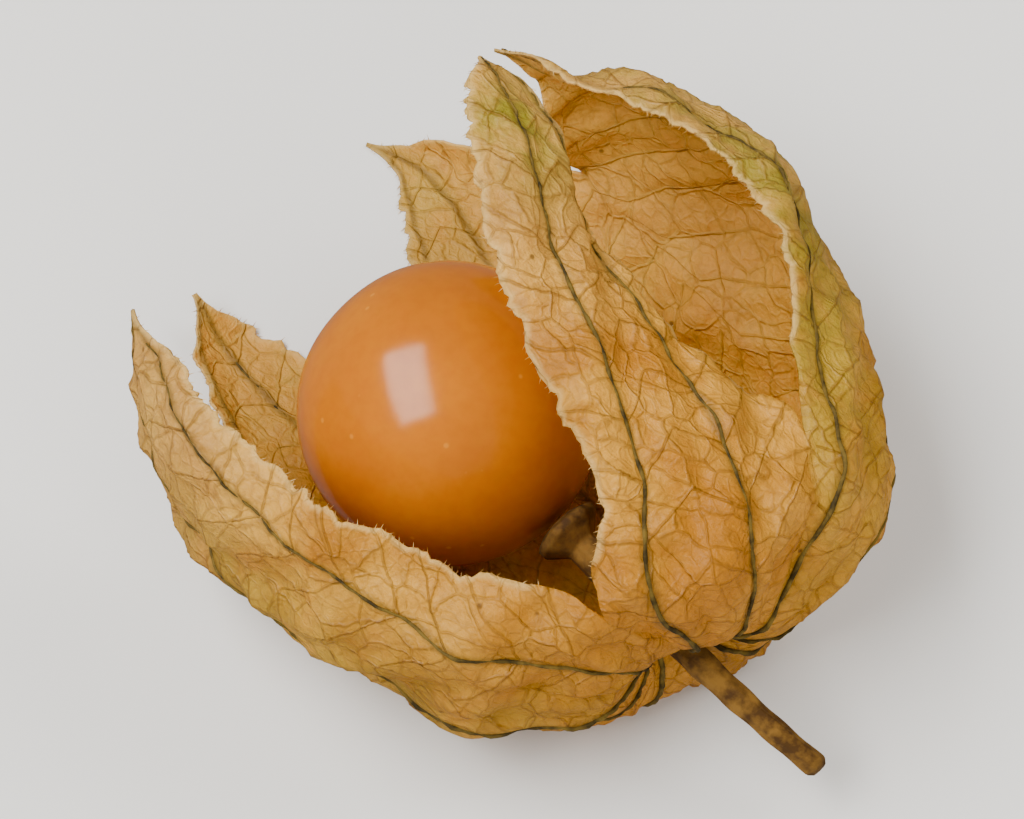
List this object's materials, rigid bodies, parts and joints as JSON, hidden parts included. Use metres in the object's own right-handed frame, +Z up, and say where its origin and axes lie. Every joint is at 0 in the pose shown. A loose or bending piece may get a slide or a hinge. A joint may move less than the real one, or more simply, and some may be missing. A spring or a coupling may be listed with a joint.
{
  "type": "physalis berry",
  "caption": "Round orange physalis berry on its receptacle inside an opened papery husk with raised ribs and torn pointed lobes, lying on a surface, with a short dry stalk.",
  "frame": {"origin": "middle of the object's box, on the surface that it lies on", "axes": "+Z up from the surface, the husk's mouth opens towards -X and +Y, the stalk points towards +X and -Y"},
  "size_m": [0.045, 0.0458, 0.0282],
  "materials": {
    "berry_skin": "gloss",
    "husk_paper": "matte",
    "dry_stalk": "matte"
  },
  "bodies": {
    "root": {"berry": "berry_skin", "husk": "husk_paper", "stem": "dry_stalk"}
  },
  "joints": []
}
